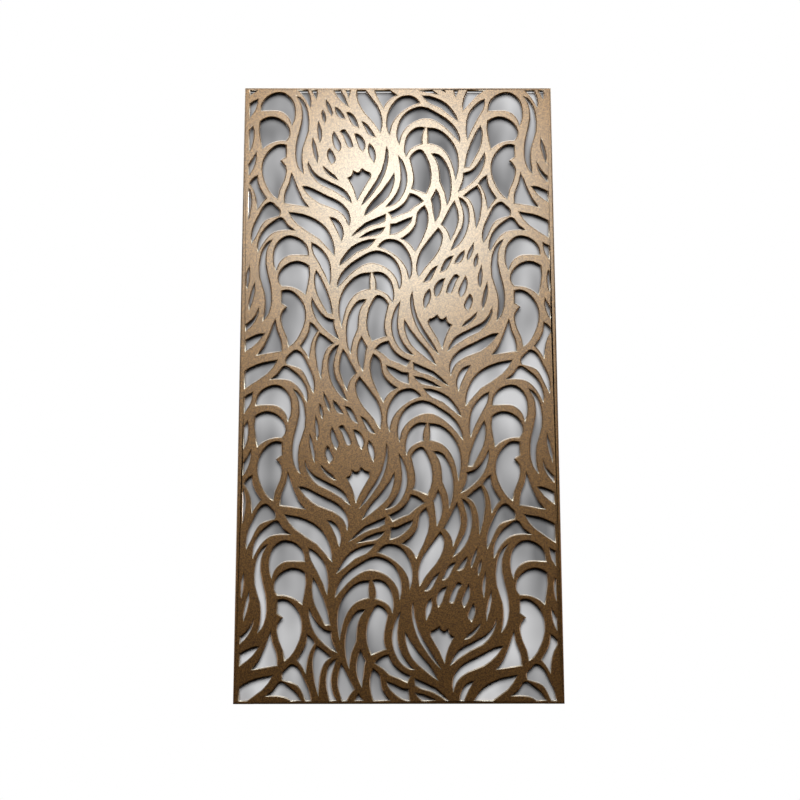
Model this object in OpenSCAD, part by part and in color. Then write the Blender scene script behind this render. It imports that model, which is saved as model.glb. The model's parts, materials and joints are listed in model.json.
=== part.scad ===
// Laser cut metal screen: a lattice of feather plumes and shells cut through one plate. A slim
// frame of square bar stiffens it from behind, on studs that are welded to the plate's back.
// The screen faces -Y. The origin is the middle of the plate's bottom edge: x = 0 is the middle
// of its width, y = 0 the middle of its thickness, and z = 0 its foot.

/* [Plate] */
// Width of the screen
panel_w = 1200; // [1000:10:1500]
// Height of the screen
panel_h = 2400; // [1800:10:3000]
// Thickness of the cut plate
plate_t = 5; // [3:0.5:8]
// Plain margin down each side
side_margin = 22; // [18:1:60]
// Plain margin along the top
top_margin = 12; // [12:1:60]
// Plain margin along the bottom
foot_margin = 13; // [12:1:60]

/* [Plume pattern] */
// Width of one repeat of the pattern
repeat_w = 889; // [700:1:1100]
// Height of one repeat: a plume, and the mirrored plume above it
repeat_h = 1188; // [950:1:1500]
// Mirror axis of the pattern, right of the middle of the screen
pattern_x = 4; // [-60:0.5:60]
// Foot of the lowest whole plume above the bottom edge
pattern_z = 618.5; // [500:0.5:740]
// How far inside its drawn line each slot is cut
slot_inset = 1.2; // [0:0.1:2]
// Least width of a slot that is still cut where a margin crosses it
least_cut = 5; // [3:1:10]

/* [Back frame] */
// Side of the square bar
bar_w = 10; // [10:1:16]
// Step from the edge of the plate to the bar
bar_step = 1; // [1:0.5:4]
// Leg of an L-shaped corner plate, along the bar
corner_leg = 70; // [60:1:120]
// Thickness of the corner plates
corner_t = 3; // [3:0.5:4]

/* [Studs and screws] */
// Diameter of the studs and of the corner screws
stud_d = 4; // [3:0.5:4]
// Clearance of a stud or screw in its plain hole, on the diameter
stud_clear = 0.6; // [0.3:0.1:1]
// Clearance of a thread in its nut or tapped hole, on the diameter
thread_clear = 0.1; // [0.04:0.02:0.2]
// Aimed distance between studs
stud_pitch = 280; // [200:10:400]
// Plain bar between a corner plate and the stud next to it
stud_inset = 15; // [12:1:40]
// Thickness of the flange at a stud's foot
flange_t = 0.8; // [0.6:0.1:1.2]
// Thickness of the washers
washer_t = 0.8; // [0.5:0.1:1.2]
// Thickness of the nuts
nut_t = 3.2; // [2.4:0.1:4]
// Length of stud that stands out of its nut
stud_over = 1.4; // [1:0.1:3]
// Length of a corner screw below the back of the bar
screw_grip = 6.5; // [5:0.5:7]

/* [Fixing holes] */
// Diameter of the threaded fixing holes in the back of the stiles
fixing_d = 5; // [4:0.5:6]
// Depth of the fixing holes
fixing_depth = 8; // [5:0.5:9]
// Gap between two studs, counted from the corner, that holds a fixing hole
fixing_bay = 1; // [1:1:3]

/* [Hidden] */
$fn = 48;

// Size of one repeat as its slots are drawn below
drawn_w = 887;
drawn_h = 1186;
// Coarsest step round a curve: by turn, in degrees, and by length
step_turn = 11;
step_length = 60;
// Longest move of a slot's sharp corner, in slot_insets
corner_reach = 2;

// Faces and middle lines of the frame
back_y = plate_t / 2;
bar_back_y = back_y + bar_w;
corner_back_y = bar_back_y + corner_t;
frame_x = panel_w / 2 - bar_step;
frame_top = panel_h - bar_step;
bar_line_x = frame_x - bar_w / 2;
low_line_z = bar_step + bar_w / 2;
high_line_z = frame_top - bar_w / 2;

// Fastener sizes that follow the stud
flange_d = 1.4 * stud_d;
washer_d = 2.25 * stud_d;
nut_af = 1.75 * stud_d;
screw_head_d = 2 * stud_d;
head_h = (screw_head_d - stud_d) / 2;
socket_af = 0.6 * stud_d;
socket_h = 0.3 * stud_d;
washer_back_y = bar_back_y + washer_t;
nut_back_y = washer_back_y + nut_t;
stud_tip_y = nut_back_y + stud_over;
// Clearance all round the flange in its recess, and under the head of a corner screw
flange_clear = 0.3;
head_clear = 0.05;
// Screws along one leg of a corner plate, from the outer corner: the first lies a gap beyond the
// other bar, and the last the same way from the leg's end
screw_gap = 12;
screw_end = 10;
screw_spots = [bar_w + screw_gap, corner_leg - screw_end];

// Studs stand in even bays between the corner plates
stud_end = bar_step + corner_leg + stud_inset;
stile_bays = ceil((panel_h - 2 * stud_end) / stud_pitch);
rail_bays = ceil((panel_w - 2 * stud_end) / stud_pitch);
stile_step = (panel_h - 2 * stud_end) / stile_bays;
rail_step = (panel_w - 2 * stud_end) / rail_bays;
stile_stud_z = [for (i = [0 : stile_bays]) stud_end + i * stile_step];
rail_stud_x = [for (i = [0 : rail_bays]) stud_end + i * rail_step - panel_w / 2];
fixing_low = stud_end + (fixing_bay - 0.5) * stile_step;
fixing_z = [fixing_low, panel_h - fixing_low];

// A little more than a face, for cuts that run out through it
cut_over = 0.5;

// ---- Curves ----
// A slot is a list of sides. A side starts at a sharp corner and goes on through its bend
// points, and a smooth curve through them ends at the next side's corner.

function chord(p, i) = norm(p[i + 1] - p[i]);

function slope(p, i) = (p[i + 1] - p[i]) / chord(p, i);

// Direction of the curve at point i: the parabola through it and its neighbours
function tangent(p, i) =
    let (n = len(p) - 1)
    n == 1 ? slope(p, 0)
    : i == 0 ? 2 * slope(p, 0) - tangent(p, 1)
    : i == n ? 2 * slope(p, n - 1) - tangent(p, n - 1)
    : (chord(p, i) * slope(p, i - 1) + chord(p, i - 1) * slope(p, i))
      / (chord(p, i - 1) + chord(p, i));

// Cubic from a to b that leaves along ta and arrives along tb, at share s of the way
function blend(a, b, ta, tb, s) =
    let (r = 1 - s)
    a * r * r * (1 + 2 * s) + ta * s * r * r + b * s * s * (1 + 2 * r) - tb * s * s * r;

function turn_between(ta, tb) = acos(max(-1, min(1, ta * tb / norm(ta) / norm(tb))));

function step_count(l, ta, tb) =
    max(1, ceil(turn_between(ta, tb) / step_turn), ceil(l / step_length));

function side_points(side, end) =
    let (p = concat(side, [end]))
    [for (i = [0 : len(p) - 2])
        let (l = chord(p, i), ta = tangent(p, i), tb = tangent(p, i + 1),
             m = step_count(l, ta, tb))
        for (k = [0 : m - 1]) blend(p[i], p[i + 1], l * ta, l * tb, k / m)];

function outline(slot) =
    [for (i = [0 : len(slot) - 1]) each side_points(slot[i], slot[(i + 1) % len(slot)][0])];

// Direction to the right of the line from a to b
function rightward(a, b) = [b[1] - a[1], a[0] - b[0]] / norm(b - a);

// Point p between a and b, moved to the right so that the lines to both move by d
function moved(a, p, b, d) =
    let (n = rightward(a, p) + rightward(p, b))
    p + d * min(corner_reach, 2 / norm(n)) * n / norm(n);

// Twice the area inside the points, and less than 0 where they run clockwise
function twice_area(p, i = 0) =
    i == len(p) ? 0
    : let (a = p[i], b = p[(i + 1) % len(p)]) a[0] * b[1] - b[0] * a[1] + twice_area(p, i + 1);

function points_before(slot, i) = i == 0 ? 0 : points_before(slot, i - 1) + len(slot[i - 1]);

// The slot as it is cut, slot_inset inside its drawn line
function drawn_in(slot) =
    let (p = [for (side = slot) each side], n = len(p), d = -sign(twice_area(p)) * slot_inset)
    [for (i = [0 : len(slot) - 1])
        [for (k = [0 : len(slot[i]) - 1])
            let (at = points_before(slot, i) + k)
            moved(p[(at + n - 1) % n], p[at], p[(at + 1) % n], d)]];

// ---- The slots of one half repeat: x from the plume's shaft, y up from its foot ----

// The open eye: a cup with a scalloped rim
function cup() = [[
    [[-197, 216], [-184, 224]],
    [[-177, 246], [-162, 237]],
    [[-143, 254], [-129, 243]],
    [[-115, 238], [-111, 227], [-120, 207], [-145, 163]],
    [[-162, 124], [-170, 158], [-187, 200]]]];

// Five petals over the eye, left to right
function petals() = [
    [[[-269, 338], [-255, 313], [-249, 291]], [[-261, 275], [-273, 298], [-276, 322]]],
    [[[-253, 411], [-238, 378], [-228, 342]], [[-235, 327], [-250, 350], [-257, 380]]],
    [[[-227, 409], [-216, 416], [-200, 397], [-186, 368]], [[-181, 348], [-188, 343]],
     [[-198, 347], [-206, 366], [-214, 390]]],
    [[[-173, 401], [-151, 390], [-134, 353]], [[-141, 328], [-154, 346], [-165, 380]]],
    [[[-115, 359], [-99, 336], [-94, 300]], [[-97, 280], [-110, 305], [-118, 335]]]];

// Short barbs scattered round the crown of the eye
function barbs() = [
    [[[-286, 547], [-272, 520], [-262, 492]], [[-263, 474], [-273, 494], [-282, 520]]],
    [[[-300, 501], [-288, 472]], [[-289, 445], [-298, 471]]],
    [[[-249, 514], [-227, 491]], [[-212, 463], [-231, 469], [-244, 491]]],
    [[[-206, 492], [-179, 476], [-165, 448]], [[-157, 427], [-178, 439], [-193, 468]]],
    [[[-147, 454], [-123, 434], [-106, 408]], [[-92, 387], [-114, 395], [-131, 425]]],
    [[[-315, 459], [-305, 420], [-303, 385]], [[-308, 363], [-312, 385], [-315, 420]]],
    [[[-336, 390], [-325, 350], [-316, 305]], [[-317, 277], [-327, 310], [-336, 352]]],
    [[[-296, 268], [-271, 242], [-251, 227]], [[-236, 209], [-259, 219], [-281, 240]]]];

// Long slots that sweep in to the shaft from the left of the eye, and those that bend over it
function left_sweeps() = [
    [[[-401, 560], [-383, 528], [-376, 460], [-394, 380], [-400, 315], [-389, 262]],
     [[-370, 234], [-378, 285], [-376, 340], [-355, 410], [-357, 490], [-376, 538]]],
    [[[-354, 288], [-340, 252], [-312, 222], [-262, 195], [-214, 168]],
     [[-183, 114], [-215, 141], [-254, 167], [-301, 190], [-336, 228]]],
    [[[-376, 182], [-356, 180], [-327, 168], [-280, 143], [-230, 117], [-196, 76]],
     [[-193, 20], [-211, 62], [-248, 91], [-306, 114], [-350, 149]]],
    [[[-427, 79], [-372, 67], [-322, 46], [-284, 14], [-262, -25]],
     [[-249, -98], [-272, -70], [-305, -32], [-347, -4], [-388, 26]]],
    [[[-268, 57], [-236, 41], [-219, 10]], [[-222, -40], [-234, -6], [-249, 27]]],
    [[[-416, 241], [-423, 198], [-438, 160]], [[-442, 114], [-400, 108]],
     [[-349, 98], [-376, 134], [-395, 178]]]];

// Slots that fan out of the shaft to the right of the eye
function right_sweeps() = [
    [[[-49, 350], [-44, 305], [-52, 255], [-76, 195], [-105, 152]],
     [[-149, 101], [-112, 164], [-88, 202], [-66, 246], [-54, 290]]],
    [[[-19, 238], [-24, 189], [-45, 140], [-83, 103]],
     [[-138, 60], [-105, 118], [-68, 160], [-34, 208]]],
    [[[-4, 312], [20, 265], [29, 215], [17, 158], [-14, 114]],
     [[-52, 98], [-22, 132], [3, 180], [9, 235]]],
    [[[-39, 75], [-4, 92], [24, 118]], [[42, 152], [72, 140]],
     [[91, 122], [60, 102], [36, 80], [2, 67]], [[-26, 54]]],
    [[[-52, 68], [-85, 52], [-128, 32], [-160, 4]],
     [[-187, -24], [-150, 0], [-110, 22], [-80, 30]], [[-56, 42]]],
    [[[-55, 15], [-85, 8], [-122, -8]], [[-158, -29], [-120, -21], [-84, -14]]],
    [[[49, 57], [22, 45], [-8, 30]], [[-32, 27]], [[-35, -14], [-5, -5], [21, 14], [41, 36]]]];

// Windows between the arches to the right of the shaft
function arch_windows() = [
    [[[98, 102], [72, 75], [65, 30], [47, 0]], [[8, -31], [34, -46]],
     [[61, -84], [86, -35], [104, 12], [109, 66]]],
    [[[143, 170], [154, 142], [158, 95], [150, 62]], [[138, 36], [133, 75], [129, 112]],
     [[124, 130], [134, 148]]],
    [[[43, 298], [58, 321], [82, 333], [104, 305], [119, 260], [121, 205]],
     [[103, 154], [78, 164]], [[50, 173], [58, 208], [53, 255]]],
    [[[100, 425], [69, 424], [40, 401], [25, 362]], [[26, 306], [42, 335], [64, 350]],
     [[89, 359], [88, 385]]],
    [[[111, 424], [150, 417], [200, 374], [226, 312], [227, 255]],
     [[219, 207], [211, 255], [192, 308], [160, 345]], [[113, 361], [114, 395]]],
    [[[127, 317], [152, 312], [182, 275], [199, 210], [197, 150]],
     [[184, 104], [177, 158], [159, 202], [156, 250], [146, 288]]],
    [[[0, 356], [-6, 415], [24, 483], [88, 512], [152, 483], [206, 440], [231, 396]],
     [[236, 364], [210, 396], [174, 433], [112, 465], [46, 443], [10, 400]]],
    [[[91, 560], [139, 550], [183, 526], [210, 493]],
     [[231, 452], [200, 476], [165, 507], [122, 527]]],
    [[[-37, 394], [-47, 442], [-34, 506], [8, 553], [48, 557]],
     [[81, 530], [36, 511], [-9, 473], [-32, 431]]],
    [[[-150, 604], [-117, 561], [-86, 517], [-68, 458]],
     [[-73, 406], [-98, 446], [-134, 489], [-158, 535], [-163, 580]]]];

// Windows and slots of the next shaft to the right
function shaft_windows() = [
    [[[213, 122], [198, 95], [184, 67]], [[164, 28], [183, 6]],
     [[197, -40], [214, 2], [226, 45], [222, 88]]],
    [[[230, 138], [256, 115], [268, 62], [260, 8], [238, -40]],
     [[196, -80], [215, -38], [240, 8], [250, 60], [243, 100]]],
    [[[250, 144], [276, 166]], [[302, 184], [315, 150], [317, 110], [309, 55]],
     [[295, 5], [293, 50], [286, 96], [270, 129]]],
    [[[333, 325], [329, 280], [309, 232], [275, 193]], [[228, 160], [241, 188], [249, 212]],
     [[250, 236], [281, 247], [306, 274]]],
    [[[318, 435], [322, 390], [310, 335], [287, 290]], [[271, 262]],
     [[255, 262], [264, 312], [280, 360], [302, 408]]],
    [[[336, 546], [327, 502], [303, 459], [281, 415]],
     [[266, 374], [263, 425], [272, 479], [302, 522]]],
    [[[339, 227], [342, 193], [356, 162]], [[374, 134], [357, 114]],
     [[341, 86], [337, 125], [327, 165]], [[309, 195], [321, 212]]],
    [[[424, 62], [398, 55], [370, 42], [352, 14], [336, -22]],
     [[323, -49], [322, -5], [332, 32], [350, 70], [372, 107], [392, 117], [412, 102],
      [428, 82]]],
    [[[486, 3], [462, 20], [433, 54], [400, 36], [370, 8], [350, -32]],
     [[347, -84], [363, -52], [384, -22], [408, -3], [446, 5]]]];

// The three shells stacked under the outer arch, the lowest with its small barb
function shells() = [
    [[[349, 496], [356, 533], [384, 562], [430, 572], [468, 543], [481, 492]],
     [[470, 434], [456, 470], [427, 494], [386, 498]]],
    [[[346, 452], [392, 470], [436, 452], [459, 420], [460, 392]], [[447, 372], [402, 366]],
     [[357, 337], [350, 375], [344, 415]]],
    [[[448, 352], [420, 354], [385, 330], [362, 290], [359, 235], [377, 182], [400, 146]],
     [[418, 132], [425, 168], [441, 206], [447, 262]], [[427, 288], [438, 298]],
     [[448, 304]]]];

half_repeat = [for (slot = concat(cup(), petals(), barbs(), left_sweeps(), right_sweeps(),
                                  arch_windows(), shaft_windows(), shells()))
    outline(drawn_in(slot))];

// ---- Laying the pattern out over the plate ----

// Corners of the window inside the plain margins: x from the middle, y from the foot
window_low = [side_margin - panel_w / 2, foot_margin];
window_high = [panel_w / 2 - side_margin, panel_h - top_margin];

// Copies needed each way so that the window is covered
columns = ceil(panel_w / 2 / repeat_w) + 1;
rows = ceil(panel_h / repeat_h) + 1;

// Points of one slot at a copy: half 0 is as drawn, half 1 mirrored and half a repeat up
function placed(points, half, column, row) =
    let (flip = 1 - 2 * half)
    [for (p = points)
        [pattern_x + flip * p[0] * repeat_w / drawn_w + column * repeat_w,
         pattern_z + p[1] * repeat_h / drawn_h + (row + half / 2) * repeat_h]];

function low_corner(points) = [min([for (p = points) p[0]]), min([for (p = points) p[1]])];

function high_corner(points) = [max([for (p = points) p[0]]), max([for (p = points) p[1]])];

// How far the slot's box lies inside the window: less than 0 on a side that it crosses
function room_inside(points) =
    let (a = low_corner(points) - window_low, b = window_high - high_corner(points))
    min(a[0], a[1], b[0], b[1]);

// Width of the slot's box that a cut at the window leaves
function width_left(points) =
    let (a = high_corner(points) - window_low, b = window_high - low_corner(points))
    min(a[0], a[1], b[0], b[1]);

module window() {
    translate(window_low) square(window_high - window_low);
}

module slot(points) {
    if (room_inside(points) >= 0)
        polygon(points);
    else if (width_left(points) > least_cut)
        intersection() {
            polygon(points);
            window();
        }
}

module all_slots() {
    for (half = [0, 1], column = [-columns : columns], row = [-1 : rows])
        for (points = half_repeat)
            slot(placed(points, half, column, row));
}

// A flat outline, drawn upright: its y becomes height, and it gets thickness t from y_from on
module upright(y_from, t) {
    translate([0, y_from + t, 0])
        rotate([90, 0, 0])
            linear_extrude(t)
                children();
}

module cut_plate() {
    color([0.72, 0.60, 0.45])
        upright(-plate_t / 2, plate_t)
            difference() {
                translate([-panel_w / 2, 0]) square([panel_w, panel_h]);
                all_slots();
            }
}

// ---- The back frame ----

// A round solid along +Y from y_from to y_to, at a place in the frame
module peg(x, z, d, y_from, y_to) {
    translate([x, y_from, z])
        rotate([-90, 0, 0])
            cylinder(d = d, h = y_to - y_from);
}

// Plain hole and flange recess for a weld stud
module stud_hole(x, z) {
    peg(x, z, stud_d + stud_clear, back_y - cut_over, bar_back_y + cut_over);
    peg(x, z, flange_d + 2 * flange_clear, back_y - cut_over, back_y + flange_t + flange_clear);
}

// Tapped hole for a corner screw
module screw_hole(x, z) {
    peg(x, z, stud_d + thread_clear, bar_back_y - screw_grip - cut_over, bar_back_y + cut_over);
}

// Places of a corner's screws: sx and sz are the signs of its side and its end
function corner_spots(sx, sz) =
    let (line_z = sz > 0 ? high_line_z : low_line_z,
         end_z = sz > 0 ? frame_top : bar_step)
    concat([for (d = screw_spots) [sx * bar_line_x, end_z - sz * d]],
           [for (d = screw_spots) [sx * (frame_x - d), line_z]]);

module stile(sx) {
    color([0.20, 0.18, 0.17])
        difference() {
            translate([sx * bar_line_x - bar_w / 2, back_y, bar_step])
                cube([bar_w, bar_w, frame_top - bar_step]);
            for (z = stile_stud_z)
                stud_hole(sx * bar_line_x, z);
            for (z = fixing_z)
                peg(sx * bar_line_x, z, fixing_d, bar_back_y - fixing_depth,
                    bar_back_y + cut_over);
            for (sz = [-1, 1], spot = corner_spots(sx, sz))
                if (abs(spot[0]) > frame_x - bar_w)
                    screw_hole(spot[0], spot[1]);
        }
}

module rail(sz) {
    line_z = sz > 0 ? high_line_z : low_line_z;
    color([0.20, 0.18, 0.17])
        difference() {
            translate([bar_w - frame_x, back_y, line_z - bar_w / 2])
                cube([2 * (frame_x - bar_w), bar_w, bar_w]);
            for (x = rail_stud_x)
                stud_hole(x, line_z);
            for (sx = [-1, 1], spot = corner_spots(sx, sz))
                if (abs(spot[0]) < frame_x - bar_w)
                    screw_hole(spot[0], spot[1]);
        }
}

// Hole and countersink through a corner plate for one screw
module countersink(x, z) {
    peg(x, z, stud_d + stud_clear, bar_back_y - cut_over, corner_back_y + cut_over);
    translate([x, corner_back_y - head_h, z])
        rotate([-90, 0, 0])
            cylinder(d1 = stud_d + 2 * head_clear, d2 = screw_head_d + 2 * head_clear + 2 * cut_over,
                     h = head_h + cut_over);
}

// An L that covers the joint of a rail and a stile: sx and sz are the signs of its corner
module corner_plate(sx, sz) {
    end_z = sz > 0 ? frame_top : bar_step;
    leg_points = [[0, 0], [corner_leg, 0], [corner_leg, bar_w], [bar_w, bar_w],
                  [bar_w, corner_leg], [0, corner_leg]];
    color([0.55, 0.56, 0.57])
        difference() {
            upright(bar_back_y, corner_t)
                polygon([for (p = leg_points) [sx * (frame_x - p[0]), end_z - sz * p[1]]]);
            for (spot = corner_spots(sx, sz))
                countersink(spot[0], spot[1]);
        }
}

// ---- Fasteners ----

// Countersunk screw with a hexagon socket, its head level with the back of the corner plate
module corner_screw(x, z) {
    difference() {
        union() {
            peg(x, z, stud_d, bar_back_y - screw_grip, corner_back_y - head_h);
            translate([x, corner_back_y - head_h, z])
                rotate([-90, 0, 0])
                    cylinder(d1 = stud_d, d2 = screw_head_d, h = head_h);
        }
        hexagon(x, z, socket_af, corner_back_y - socket_h, corner_back_y + cut_over);
    }
}

// A hexagonal solid along +Y, af across its flats
module hexagon(x, z, af, y_from, y_to) {
    translate([x, y_from, z])
        rotate([-90, 0, 0])
            cylinder(d = af / cos(30), h = y_to - y_from, $fn = 6);
}

// Stud with a flanged foot that is welded to the back of the plate
module weld_stud(x, z) {
    peg(x, z, flange_d, back_y, back_y + flange_t);
    peg(x, z, stud_d, back_y, stud_tip_y);
}

module stud_washer(x, z) {
    difference() {
        peg(x, z, washer_d, bar_back_y, washer_back_y);
        peg(x, z, stud_d + stud_clear, bar_back_y - cut_over, washer_back_y + cut_over);
    }
}

module stud_nut(x, z) {
    difference() {
        hexagon(x, z, nut_af, washer_back_y, nut_back_y);
        peg(x, z, stud_d + thread_clear, washer_back_y - cut_over, nut_back_y + cut_over);
    }
}

// Places of all studs, x and z
stud_spots = concat([for (sx = [-1, 1], z = stile_stud_z) [sx * bar_line_x, z]],
                    [for (z = [low_line_z, high_line_z], x = rail_stud_x) [x, z]]);

module corner_screws() {
    color([0.30, 0.29, 0.28])
        for (sx = [-1, 1], sz = [-1, 1], spot = corner_spots(sx, sz))
            corner_screw(spot[0], spot[1]);
}

module weld_studs() {
    color([0.62, 0.55, 0.42])
        for (spot = stud_spots)
            weld_stud(spot[0], spot[1]);
}

module stud_washers() {
    color([0.70, 0.71, 0.72])
        for (spot = stud_spots)
            stud_washer(spot[0], spot[1]);
}

module stud_nuts() {
    color([0.66, 0.67, 0.68])
        for (spot = stud_spots)
            stud_nut(spot[0], spot[1]);
}

cut_plate();
rail(1);  // top_rail
rail(-1);  // bottom_rail
stile(-1);  // left_stile
stile(1);  // right_stile
corner_plate(-1, 1);  // corner_plate_top_left
corner_plate(1, 1);  // corner_plate_top_right
corner_plate(-1, -1);  // corner_plate_bottom_left
corner_plate(1, -1);  // corner_plate_bottom_right
corner_screws();
weld_studs();
stud_washers();
stud_nuts();
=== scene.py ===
"""Looks of the laser cut metal screen: finishes, edges, fastener detail, stage, light, camera."""
import json
import math

import bmesh
import bpy
from mathutils import Matrix, Vector

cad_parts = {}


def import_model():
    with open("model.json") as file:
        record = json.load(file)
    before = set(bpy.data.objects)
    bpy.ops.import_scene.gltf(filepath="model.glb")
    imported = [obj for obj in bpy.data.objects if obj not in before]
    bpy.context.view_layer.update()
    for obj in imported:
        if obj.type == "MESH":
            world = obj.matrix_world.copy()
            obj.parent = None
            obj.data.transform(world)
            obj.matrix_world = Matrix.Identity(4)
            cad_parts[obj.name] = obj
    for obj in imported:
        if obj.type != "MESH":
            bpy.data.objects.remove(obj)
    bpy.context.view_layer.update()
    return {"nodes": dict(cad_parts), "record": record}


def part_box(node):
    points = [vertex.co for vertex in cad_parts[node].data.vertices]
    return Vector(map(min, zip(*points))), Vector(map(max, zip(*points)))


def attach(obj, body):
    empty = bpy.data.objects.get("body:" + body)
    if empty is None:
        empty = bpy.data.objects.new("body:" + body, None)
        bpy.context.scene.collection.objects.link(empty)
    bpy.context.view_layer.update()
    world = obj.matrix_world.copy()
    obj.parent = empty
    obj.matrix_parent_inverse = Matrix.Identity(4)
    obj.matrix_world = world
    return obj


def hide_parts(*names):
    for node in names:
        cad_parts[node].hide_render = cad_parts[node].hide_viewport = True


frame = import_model()
nodes = frame["nodes"]

MM = 0.001                       # every size below is in metres
WHITE = (1.0, 1.0, 1.0)

plate_low, plate_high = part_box("cut_plate")
plate_front = plate_low.y
plate_back = plate_high.y
panel_h = plate_high.z
middle = Vector((0.0, plate_front, panel_h / 2))

# ---- Node tools ----

GRAIN_HEIGHT = 0.4 * MM          # from pit to peak, at a depth of 1


def new_material(name):
    mat = bpy.data.materials.new(name)
    mat.use_nodes = True
    tree = mat.node_tree
    shader = tree.nodes["Principled BSDF"]
    return mat, tree, shader


def add(tree, kind, **values):
    """A node with attributes, and inputs given by name."""
    node = tree.nodes.new(kind)
    for key, value in values.items():
        if hasattr(node, key):
            setattr(node, key, value)
        else:
            node.inputs[key].default_value = value
    return node


def grain_group():
    """Fine sandy grain: a speck mask, slow mottling and a normal."""
    group = bpy.data.node_groups.new("sandy_grain", "ShaderNodeTree")
    face = group.interface
    for name in ("Grain Scale", "Depth", "Mottle Scale"):
        face.new_socket(name, in_out="INPUT", socket_type="NodeSocketFloat")
    face.new_socket("Speck", in_out="OUTPUT", socket_type="NodeSocketFloat")
    face.new_socket("Mottle", in_out="OUTPUT", socket_type="NodeSocketFloat")
    face.new_socket("Normal", in_out="OUTPUT", socket_type="NodeSocketVector")
    start = add(group, "NodeGroupInput")
    end = add(group, "NodeGroupOutput")
    where = add(group, "ShaderNodeTexCoord")
    fine = add(group, "ShaderNodeTexNoise", Detail=3.0, Roughness=0.6)
    slow = add(group, "ShaderNodeTexNoise", Detail=4.0, Roughness=0.55)
    bump = add(group, "ShaderNodeBump", Distance=GRAIN_HEIGHT)
    link = group.links.new
    link(where.outputs["Object"], fine.inputs["Vector"])
    link(where.outputs["Object"], slow.inputs["Vector"])
    link(start.outputs["Grain Scale"], fine.inputs["Scale"])
    link(start.outputs["Mottle Scale"], slow.inputs["Scale"])
    link(fine.outputs["Fac"], bump.inputs["Height"])
    link(start.outputs["Depth"], bump.inputs["Strength"])
    link(fine.outputs["Fac"], end.inputs["Speck"])
    link(slow.outputs["Fac"], end.inputs["Mottle"])
    link(bump.outputs["Normal"], end.inputs["Normal"])
    return group


SANDY_GRAIN = grain_group()


def use_grain(tree, grain_scale, depth, mottle_scale):
    """The grain in one material, with scales in turns per metre."""
    node = add(tree, "ShaderNodeGroup")
    node.node_tree = SANDY_GRAIN
    node.inputs["Grain Scale"].default_value = grain_scale
    node.inputs["Depth"].default_value = depth
    node.inputs["Mottle Scale"].default_value = mottle_scale
    return node


def ramp(tree, source, *stops):
    """A colour ramp over a mask; a stop is a place and its colour."""
    node = add(tree, "ShaderNodeValToRGB")
    points = node.color_ramp.elements
    while len(points) < len(stops):
        points.new(0.5)
    for point, (place, colour) in zip(points, stops):
        point.position = place
        point.color = (*colour, 1.0)
    tree.links.new(source, node.inputs["Fac"])
    return node.outputs["Color"]


def span(tree, source, low, high):
    """The mask 0..1 turned into a value from low to high."""
    node = add(tree, "ShaderNodeMapRange")
    node.inputs["To Min"].default_value = low
    node.inputs["To Max"].default_value = high
    tree.links.new(source, node.inputs["Value"])
    return node.outputs["Result"]


def lay_over(tree, under, colour, mask):
    """The colour laid over what is under it, as far as the mask says."""
    node = add(tree, "ShaderNodeMixRGB")
    node.inputs["Color2"].default_value = (*colour, 1.0)
    tree.links.new(mask, node.inputs["Fac"])
    tree.links.new(under, node.inputs["Color1"])
    return node.outputs["Color"]


def grey(value):
    return (value, value, value)


def finish_metal(tree, shader, grain, colour, roughness, metallic=1.0):
    tree.links.new(colour, shader.inputs["Base Color"])
    tree.links.new(roughness, shader.inputs["Roughness"])
    tree.links.new(grain.outputs["Normal"], shader.inputs["Normal"])
    shader.inputs["Metallic"].default_value = metallic


# ---- Finishes ----

PAINTED_HIGHLIGHT_NAME = "painted_highlight"                    # painted highlight: how far the bronze is paled on edges that face up, up to 1 on the outermost edge
PAINTED_SHADE_NAME = "painted_shade"                    # painted shade: 1 on an edge or wall that faces straight down, dark and with little coat

PIT = 0.36                       # the speck mask in the grain's pits, body and peaks
BODY = 0.50
PEAK = 0.64
BRONZE_PIT = (0.110, 0.032, 0.002)
BRONZE_BODY = (0.195, 0.079, 0.003)
BRONZE_PEAK = (0.335, 0.130, 0.012)
# painted highlight and painted shade: the pale and the dark colour laid on the edges
BRONZE_PAINTED_HIGHLIGHT = (0.62, 0.58, 0.50)
BRONZE_PAINTED_SHADE = (0.030, 0.016, 0.004)
COAT_PIT = 0.70                  # weight of the clear coat over pits, peaks and edges in painted shade
COAT_PEAK = 1.0
COAT_IN_PAINTED_SHADE = 0.1
COAT_ROUGHNESS = 0.265
COAT_IOR = 1.99


def bronze_coat():
    """Dark bronze with a fine sandy grain under a clear satin coat, for the plate, with a painted
    highlight on edges that face up and painted shade on those that face down.
    """
    mat, tree, shader = new_material("bronze_coat")
    grain = use_grain(tree, grain_scale=260.0, depth=0.45, mottle_scale=9.0)
    speck = grain.outputs["Speck"]
    painted_highlight = add(tree, "ShaderNodeAttribute", attribute_name=PAINTED_HIGHLIGHT_NAME).outputs["Fac"]
    painted_shade = add(tree, "ShaderNodeAttribute", attribute_name=PAINTED_SHADE_NAME).outputs["Fac"]
    bronze = ramp(tree, speck, (PIT, BRONZE_PIT), (BODY, BRONZE_BODY), (PEAK, BRONZE_PEAK))
    # painted highlight on edges that face up, then painted shade on those that face down
    with_painted_highlight = lay_over(tree, bronze, BRONZE_PAINTED_HIGHLIGHT, painted_highlight)
    colour = lay_over(tree, with_painted_highlight, BRONZE_PAINTED_SHADE, painted_shade)
    roughness = span(tree, grain.outputs["Mottle"], low=0.36, high=0.41)
    finish_metal(tree, shader, grain, colour, roughness)
    coat = ramp(tree, speck, (PIT, grey(COAT_PIT)), (PEAK, grey(COAT_PEAK)))
    # less coat where the shade is painted
    coat_with_painted_shade = lay_over(tree, coat, grey(COAT_IN_PAINTED_SHADE), painted_shade)
    tree.links.new(coat_with_painted_shade, shader.inputs["Coat Weight"])
    shader.inputs["Coat Roughness"].default_value = COAT_ROUGHNESS
    shader.inputs["Coat IOR"].default_value = COAT_IOR
    return mat


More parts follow.
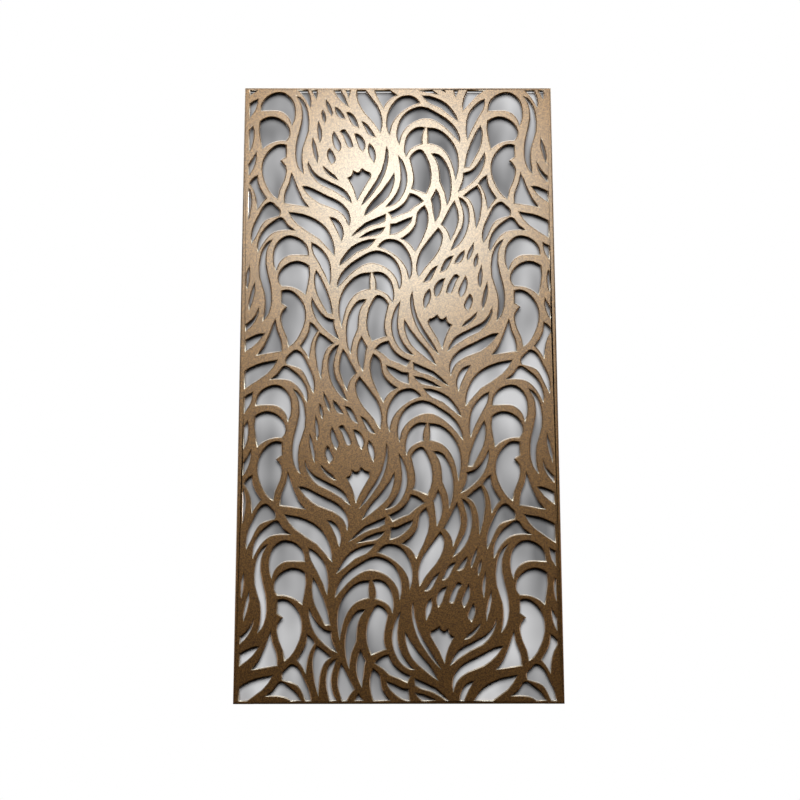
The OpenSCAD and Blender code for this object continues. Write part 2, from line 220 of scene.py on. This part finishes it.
def frame_coat():
    """Brown, half matt coat of the bars."""
    mat, tree, shader = new_material("frame_coat")
    grain = use_grain(tree, grain_scale=700.0, depth=0.2, mottle_scale=14.0)
    dark, light = (0.12, 0.085, 0.055), (0.18, 0.13, 0.09)
    colour = ramp(tree, grain.outputs["Speck"], (0.30, dark), (0.70, light))
    roughness = span(tree, grain.outputs["Mottle"], low=0.45, high=0.6)
    finish_metal(tree, shader, grain, colour, roughness, metallic=0.8)
    return mat


def bright_metal(name, dark, light, smooth, rough):
    """Plated, blackened or coppered steel of the corner plates and fasteners."""
    mat, tree, shader = new_material(name)
    grain = use_grain(tree, grain_scale=1500.0, depth=0.1, mottle_scale=60.0)
    colour = ramp(tree, grain.outputs["Mottle"], (0.35, dark), (0.65, light))
    finish_metal(tree, shader, grain, colour, span(tree, grain.outputs["Speck"], smooth, rough))
    return mat


FINISH = {
    "bronze_coat": bronze_coat(),
    "frame_coat": frame_coat(),
    "zinc_plate": bright_metal(
        "zinc_plate", dark=(0.52, 0.53, 0.55), light=(0.66, 0.67, 0.68), smooth=0.25, rough=0.4),
    "black_oxide": bright_metal(
        "black_oxide", dark=grey(0.06), light=grey(0.12), smooth=0.3, rough=0.5),
    "stud_steel": bright_metal(
        "stud_steel", dark=(0.45, 0.36, 0.28), light=(0.58, 0.48, 0.38), smooth=0.3, rough=0.45),
}

# ---- Piece tools ----

WELD = 1e-6                      # points closer than this are one point
SMOOTH_TURN = math.radians(45)   # a sharper turn than this shows as a corner


def dress(piece, material):
    piece.data.materials.clear()
    piece.data.materials.append(material)


def slot_of(node):
    return next(part["material_slot"] for part in frame["record"]["subparts"] if part["node"] == node)


def copy_of(node, name):
    """A merged copy of a CAD node's mesh as a new piece, and its bmesh."""
    mesh = bpy.data.meshes.new(name)
    piece = bpy.data.objects.new(name, mesh)
    bpy.context.scene.collection.objects.link(piece)
    bm = bmesh.new()
    bm.from_mesh(nodes[node].data)
    bmesh.ops.remove_doubles(bm, verts=bm.verts, dist=WELD)
    return piece, bm


def stands_for(piece, bm, node):
    """Makes the piece from its bmesh and puts it in the node's place."""
    bm.to_mesh(piece.data)
    bm.free()
    dress(piece, FINISH[slot_of(node)])
    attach(piece, "root")
    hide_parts(node)


def keep_corners(bm):
    """Shading runs on over gentle turns and stops at corners."""
    for edge in bm.edges:
        edge.smooth = len(edge.link_faces) == 2 and edge.calc_face_angle() < SMOOTH_TURN


# ---- The plate: its front rolls over along every slot and along its own outline ----

EDGE_STEEP = 1.7 * MM            # outer part of the rolled edge: its width and its drop
EDGE_STEEP_DROP = 1.3 * MM
EDGE_CROWN = 3.4 * MM            # inner, nearly flat part
EDGE_CROWN_DROP = 0.5 * MM
EDGE_REACH = 1.5                 # longest move at a slot's sharp tip, in ring widths
PAINTED_HIGHLIGHT_CROWN = 0.60                # painted highlight where the two parts meet, next to 1 on the outermost edge

FRONT = -0.9                     # the y of a normal is below this on a face that looks forward
FLAT = 0.9999                    # without its sign, it is at least this on a flat face,
STEEP = 0.95                     # at least this on the crown and less on all that is steeper,
WALL = 0.3                       # and at most this on a slot's wall
ALONG_Y = 1e-6                   # a normal that leans less than this from y faces neither up nor down


def edge_ring(bm, front, width, drop):
    """One ring of slope inside the front's outline, whose outer rim lies lower by drop."""
    slope = bmesh.ops.inset_region(
        bm, faces=front, thickness=width, use_boundary=True, use_even_offset=True)["faces"]
    inside = set(slope).union(front)
    outer_rim = {v for f in slope for v in f.verts if not inside.issuperset(v.link_faces)}
    crossing = {e for f in slope for e in f.edges
                if (e.verts[0] in outer_rim) != (e.verts[1] in outer_rim)}
    longest = EDGE_REACH * width
    for edge in crossing:
        outer, inner = edge.verts if edge.verts[0] in outer_rim else reversed(edge.verts)
        move = inner.co - outer.co
        if move.length > longest:
            inner.co = outer.co + move * (longest / move.length)
    for v in outer_rim:
        v.co.y += drop
    return outer_rim


def upward(normal):
    """How far an edge's normal turns up across the plate: 1 straight up, -1 straight down."""
    level = math.hypot(normal.x, normal.z)
    return normal.z / level if level > ALONG_Y else 0.0


def facing_up(v):
    """From 1 on an edge that faces up to 0 on one facing down."""
    return (1 + upward(v.normal)) / 2


def roll_front_edges(bm):
    """Rolls the front's edges over, and marks where a highlight and where shade are painted on them."""
    painted_highlight = bm.verts.layers.float.new(PAINTED_HIGHLIGHT_NAME)
    painted_shade = bm.faces.layers.float.new(PAINTED_SHADE_NAME)
    front = [f for f in bm.faces if f.normal.y < FRONT]
    rim = edge_ring(bm, front, EDGE_STEEP, EDGE_STEEP_DROP + EDGE_CROWN_DROP)
    inner_rim = edge_ring(bm, front, EDGE_CROWN, EDGE_CROWN_DROP)
    bm.normal_update()
    # painted highlight: an edge is paler the more it faces up
    for v in inner_rim:
        v[painted_highlight] = PAINTED_HIGHLIGHT_CROWN * facing_up(v)
    for v in rim:
        v[painted_highlight] = facing_up(v)
    # painted shade: walls and slopes are darker the more they face down
    for face in bm.faces:
        if abs(face.normal.y) < STEEP:
            face[painted_shade] = math.sqrt(max(0.0, -upward(face.normal)))


def surface_kind(face):
    """0 for a wall, 1 for a rolled edge and 2 for a flat face."""
    return sum(abs(face.normal.y) > limit for limit in (WALL, FLAT))


def shade_plate(bm):
    """Flat faces stay flat, and a wall or a rolled edge is smooth round its curves."""
    for face in bm.faces:
        face.smooth = abs(face.normal.y) <= FLAT
    keep_corners(bm)
    for edge in bm.edges:
        one, other = edge.link_faces
        edge.smooth = edge.smooth and surface_kind(one) == surface_kind(other)


def rolled_plate():
    """The plate again, with its front's edges rolled over."""
    piece, bm = copy_of("cut_plate", "plate_with_broken_edges")
    roll_front_edges(bm)
    shade_plate(bm)
    piece.visible_diffuse = False    # throws no brown light on the cloth behind it
    stands_for(piece, bm, "cut_plate")


# ---- The frame and its fasteners ----

BAR_BREAK = 0.6 * MM             # width of the broken edges of the bars
PLATE_BREAK = 0.35 * MM          # and of the corner plates
NUT_BREAK = 0.3 * MM             # and of the nuts' corners
BAR_EDGE = 4 * MM                # an outline's edge is longer than this, and a hole's is shorter
NUT_EDGE = 2 * MM
FLAT_TURN = math.radians(0.5)    # triangles that turn by less than this are one face
SHARP = math.radians(50)         # an outline's edge turns by more than this
STUD_RADIUS = 2 * MM             # the stud and its flange are as in the part's source
FLANGE_T = 0.8 * MM
THREAD_PITCH = 0.7 * MM
THREAD_DEPTH = 0.3 * MM
THREAD_LENGTH = 7 * MM           # from the stud's tip
STUD_SIDES = 24
SPIN_WELD = 2e-5                 # a full turn closes within this


def break_edges(node, width, shortest):
    """The node's shape with the sharp edges of its outline broken."""
    piece, bm = copy_of(node, node + "_broken_edges")
    bmesh.ops.dissolve_limit(bm, angle_limit=FLAT_TURN, verts=bm.verts, edges=bm.edges)
    sharp = [e for e in bm.edges if len(e.link_faces) == 2
             and e.calc_face_angle() > SHARP and e.calc_length() > shortest]
    bmesh.ops.bevel(
        bm, geom=sharp, offset=width, offset_type="OFFSET", affect="EDGES",
        segments=2, profile=0.5, material=-1, clamp_overlap=True)
    bm.normal_update()
    for face in bm.faces:
        face.smooth = max(abs(part) for part in face.normal) < FLAT
    keep_corners(bm)
    stands_for(piece, bm, node)


def solids_of(bm):
    """The box of each separate solid in a bmesh, as its lowest and highest corners."""
    left = set(bm.verts)
    boxes = []
    while left:
        reached = [left.pop()]
        for vert in reached:
            near = {edge.other_vert(vert) for edge in vert.link_edges} & left
            left -= near
            reached.extend(near)
        places = [vert.co for vert in reached]
        boxes.append([Vector(pick(p[i] for p in places) for i in range(3)) for pick in (min, max)])
    return sorted(boxes, key=lambda box: tuple(box[0]))


def stud_profile(foot, tip, flange_radius):
    """Radius and place along y: the flange, the plain shank, the thread's grooves and the tip."""
    turns = round((THREAD_LENGTH - THREAD_DEPTH) / THREAD_PITCH)
    start = tip - THREAD_DEPTH - turns * THREAD_PITCH
    points = [(0.0, foot), (flange_radius, foot), (flange_radius, foot + FLANGE_T),
              (STUD_RADIUS, foot + FLANGE_T), (STUD_RADIUS, start)]
    for i in range(turns):
        points.append((STUD_RADIUS - THREAD_DEPTH, start + (i + 0.5) * THREAD_PITCH))
        points.append((STUD_RADIUS, start + (i + 1) * THREAD_PITCH))
    return points + [(STUD_RADIUS - THREAD_DEPTH, tip), (0.0, tip)]


def threaded_studs():
    """Each stud turned anew from its profile, with ring grooves for its thread."""
    piece, bm = copy_of("weld_studs", "threaded_weld_studs")
    boxes = solids_of(bm)
    bm.clear()
    for low, high in boxes:
        middle_x, middle_z = (low.x + high.x) / 2, (low.z + high.z) / 2
        points = stud_profile(low.y, high.y, (high.x - low.x) / 2)
        ring = [bm.verts.new((middle_x + radius, y, middle_z)) for radius, y in points]
        line = [bm.edges.new(pair) for pair in zip(ring, ring[1:])]
        bmesh.ops.spin(
            bm, geom=ring + line, cent=(middle_x, 0.0, middle_z), axis=(0.0, 1.0, 0.0),
            angle=math.tau, steps=STUD_SIDES, use_merge=True, use_duplicate=False)
    bmesh.ops.remove_doubles(bm, verts=bm.verts, dist=SPIN_WELD)
    bmesh.ops.recalc_face_normals(bm, faces=bm.faces)
    for face in bm.faces:
        face.smooth = True
    keep_corners(bm)
    stands_for(piece, bm, "weld_studs")


rolled_plate()
for bar in ("left_stile", "right_stile", "top_rail", "bottom_rail"):
    break_edges(bar, BAR_BREAK, BAR_EDGE)
for corner_plate in sorted(name for name in nodes if name.startswith("corner_plate")):
    break_edges(corner_plate, PLATE_BREAK, BAR_EDGE)
break_edges("stud_nuts", NUT_BREAK, NUT_EDGE)
threaded_studs()

for part in frame["record"]["subparts"]:
    dress(nodes[part["node"]], FINISH[part["material_slot"]])

# ---- Stage: a cloth close behind the plate, which makes the slots grey, and a pale floor ----

CLOTH_GAP = 13 * MM              # from the plate's back
CLOTH_INSET = 12 * MM            # from the plate's outline
CLOTH_CLOUDS = (5.0, 1.0, 2.2)   # turns per metre, so its clouds are taller than wide
CLOTH_DARK = (0.26, 0.26, 0.265)
CLOTH_PALE = (0.92, 0.92, 0.93)
FLOOR_COLOUR = (0.80, 0.80, 0.79)
FLOOR_REACH = 60.0


def seen_from_front(tree, shader):
    """A stage sheet is clear from behind and casts no shadow."""
    end = tree.nodes["Material Output"]
    clear = add(tree, "ShaderNodeBsdfTransparent")
    back = add(tree, "ShaderNodeNewGeometry")
    path = add(tree, "ShaderNodeLightPath")
    either = add(tree, "ShaderNodeMath", operation="MAXIMUM")
    mix = add(tree, "ShaderNodeMixShader")
    link = tree.links.new
    link(back.outputs["Backfacing"], either.inputs[0])
    link(path.outputs["Is Shadow Ray"], either.inputs[1])
    link(either.outputs["Value"], mix.inputs["Fac"])
    link(shader.outputs["BSDF"], mix.inputs[1])
    link(clear.outputs["BSDF"], mix.inputs[2])
    link(mix.outputs["Shader"], end.inputs["Surface"])


def cloth_material():
    """Matt grey cloth with slow darker and paler clouds."""
    mat, tree, shader = new_material("backdrop_cloth")
    where = add(tree, "ShaderNodeTexCoord")
    turn = add(tree, "ShaderNodeMapping", Scale=CLOTH_CLOUDS)
    cloud = add(tree, "ShaderNodeTexNoise", Scale=1.0, Detail=2.0, Roughness=0.5)
    tree.links.new(where.outputs["Object"], turn.inputs["Vector"])
    tree.links.new(turn.outputs["Vector"], cloud.inputs["Vector"])
    colour = ramp(tree, cloud.outputs["Fac"], (0.36, CLOTH_DARK), (0.64, CLOTH_PALE))
    tree.links.new(colour, shader.inputs["Base Color"])
    shader.inputs["Roughness"].default_value = 0.9
    shader.inputs["Specular IOR Level"].default_value = 0.1
    seen_from_front(tree, shader)
    return mat


def floor_material():
    mat, tree, shader = new_material("pale_floor")
    shader.inputs["Base Color"].default_value = (*FLOOR_COLOUR, 1.0)
    shader.inputs["Roughness"].default_value = 0.8
    seen_from_front(tree, shader)
    return mat


def stage_sheet(name, corners, mat):
    """One flat face of the stage, which the metal neither mirrors nor is lit by."""
    bm = bmesh.new()
    bm.faces.new([bm.verts.new(c) for c in corners])
    mesh = bpy.data.meshes.new(name)
    bm.to_mesh(mesh)
    bm.free()
    sheet = bpy.data.objects.new(name, mesh)
    bpy.context.scene.collection.objects.link(sheet)
    sheet.data.materials.append(mat)
    sheet.visible_diffuse = False
    sheet.visible_glossy = False
    return sheet


def backdrop_cloth():
    x = plate_high.x - CLOTH_INSET
    y = plate_back + CLOTH_GAP
    foot, head = CLOTH_INSET, panel_h - CLOTH_INSET
    corners = ((-x, y, foot), (x, y, foot), (x, y, head), (-x, y, head))
    return stage_sheet("backdrop_cloth", corners, cloth_material())


def pale_floor():
    r = FLOOR_REACH
    return stage_sheet("pale_floor", ((-r, -r, 0), (r, -r, 0), (r, r, 0), (-r, r, 0)), floor_material())


cloth = backdrop_cloth()
floor = pale_floor()
metal_pieces = [o for o in bpy.context.scene.objects if o.type == "MESH" and o not in (cloth, floor)]

# ---- Light: each lamp lights the metal, the cloth or the floor alone ----

WARM = (1.0, 0.82, 0.62)
COOL = (0.97, 1.09, 1.05)        # in the bronze's reflection it turns to cream
LEAN = 1 * MM                    # aims the overhead lamp off straight down, which settles its turn
SKY_DISTANCE = 20.0
SKY_HALF_WIDTH = math.radians(22)
SKY_LOW = math.radians(3)        # elevations of the sky's foot and head
SKY_HIGH = math.radians(50)
SKY_WATTS = 3690.0
FLOOR_SUN_STRENGTH = 2.9
FLOOR_SUN_SPREAD = math.radians(50)
FLOOR_SUN_TURN = (math.radians(-12), math.radians(8), 0.0)
WORLD_DIM = grey(0.008)


def softbox(name, place, aim, width, height, watts, colour):
    light = bpy.data.lights.new(name, "AREA")
    light.shape = "RECTANGLE"
    light.size = width
    light.size_y = height
    light.energy = watts
    light.color = colour
    lamp = bpy.data.objects.new(name, light)
    lamp.location = place
    lamp.rotation_euler = (Vector(aim) - Vector(place)).to_track_quat("-Z", "Y").to_euler()
    lamp.visible_camera = False
    bpy.context.scene.collection.objects.link(lamp)
    return lamp


def light_only(lamp, *receivers):
    group = bpy.data.collections.new(lamp.name + "_lights")
    for piece in receivers:
        group.objects.link(piece)
    lamp.light_linking.receiver_collection = group


def metal_light(name, place, width, height, watts, colour=WHITE, aim=middle):
    light_only(softbox(name, place, aim, width, height, watts, colour), *metal_pieces)


def metal_lights(name, out, along, up, **lamp):
    """One at the left and one at the right, equally far out."""
    for side, hand in ((-1, "left"), (1, "right")):
        metal_light(name + "_" + hand, (side * out, along, up), **lamp)


def sky():
    """A far sheet of light for the cloth alone, which throws the plate's shadow on it."""
    tilt = (SKY_LOW + SKY_HIGH) / 2
    place = middle + SKY_DISTANCE * Vector((0.0, -math.cos(tilt), math.sin(tilt)))
    width = 2 * SKY_DISTANCE * math.tan(SKY_HALF_WIDTH)
    height = 2 * SKY_DISTANCE * math.tan((SKY_HIGH - SKY_LOW) / 2)
    lamp = softbox("sky", place, middle, width, height, SKY_WATTS, WHITE)
    lamp.data.cycles.use_multiple_importance_sampling = False    # with it, light leaks into the shadow
    light_only(lamp, cloth)


def floor_sun():
    """A wide soft sun for the floor alone."""
    sun = bpy.data.lights.new("floor_light", "SUN")
    sun.energy = FLOOR_SUN_STRENGTH
    sun.angle = FLOOR_SUN_SPREAD
    lamp = bpy.data.objects.new("floor_light", sun)
    lamp.rotation_euler = FLOOR_SUN_TURN
    bpy.context.scene.collection.objects.link(lamp)
    light_only(lamp, floor)


def world():
    """White to the camera, and nearly dark to the metal."""
    made = bpy.data.worlds.new("studio")
    bpy.context.scene.world = made
    made.use_nodes = True
    tree = made.node_tree
    tree.nodes.clear()
    end = add(tree, "ShaderNodeOutputWorld")
    path = add(tree, "ShaderNodeLightPath")
    white = add(tree, "ShaderNodeBackground")
    white.inputs["Color"].default_value = (*WHITE, 1.0)
    dim = add(tree, "ShaderNodeBackground")
    dim.inputs["Color"].default_value = (*WORLD_DIM, 1.0)
    mix = add(tree, "ShaderNodeMixShader")
    tree.links.new(path.outputs["Is Camera Ray"], mix.inputs["Fac"])
    tree.links.new(dim.outputs["Background"], mix.inputs[1])
    tree.links.new(white.outputs["Background"], mix.inputs[2])
    tree.links.new(mix.outputs["Shader"], end.inputs["Surface"])


# The key's reflection in the coat makes the upper half pale, and the low lamps warm the dark foot
metal_light(
    "key", (0.05, -10.0, 5.65), width=0.7, height=0.7, watts=194.0, colour=COOL, aim=(0.0, 0.0, 1.2))
sky()
metal_light("high", (0.0, -3.5, 6.5), width=4.0, height=1.5, watts=60.0)
metal_lights("side", out=4.5, along=-0.9, up=4.2, width=3.0, height=4.4, watts=60.0)
metal_light("overhead", (0.0, 0.8, 5.5), width=8.0, height=5.0, watts=270.0, aim=(0.0, 0.8 + LEAN, 0.0))
metal_lights("low", out=4.6, along=-3.6, up=0.4, width=3.4, height=2.6, watts=42.0, colour=WARM)
metal_lights("back", out=4.8, along=4.4, up=3.4, width=3.4, height=3.0, watts=700.0)
floor_sun()
world()

# ---- Camera: fitted to the plate's four corners in the photograph ----

CAMERA_PLACE = Vector((-0.0257, -7.1324, -0.7070))
CAMERA_AIM = Vector((0.0059, plate_front, 1.1349))
CAMERA_ROLL = -0.0017
CAMERA_SIGHT = 60.0
FOCAL_PIXELS = 1957.4
PHOTO_SIDE = 800.0
SENSOR = 36.0                    # in millimetres, as the lens is


def camera():
    data = bpy.data.cameras.new("camera")
    data.sensor_width = SENSOR
    data.lens = FOCAL_PIXELS / PHOTO_SIDE * SENSOR
    data.clip_end = CAMERA_SIGHT
    eye = bpy.data.objects.new("camera", data)
    look = (CAMERA_AIM - CAMERA_PLACE).to_track_quat("-Z", "Y").to_matrix().to_4x4()
    eye.matrix_world = Matrix.Translation(CAMERA_PLACE) @ look @ Matrix.Rotation(CAMERA_ROLL, 4, "Z")
    bpy.context.scene.collection.objects.link(eye)
    bpy.context.scene.camera = eye


camera()
bpy.context.scene.view_settings.view_transform = "Standard"
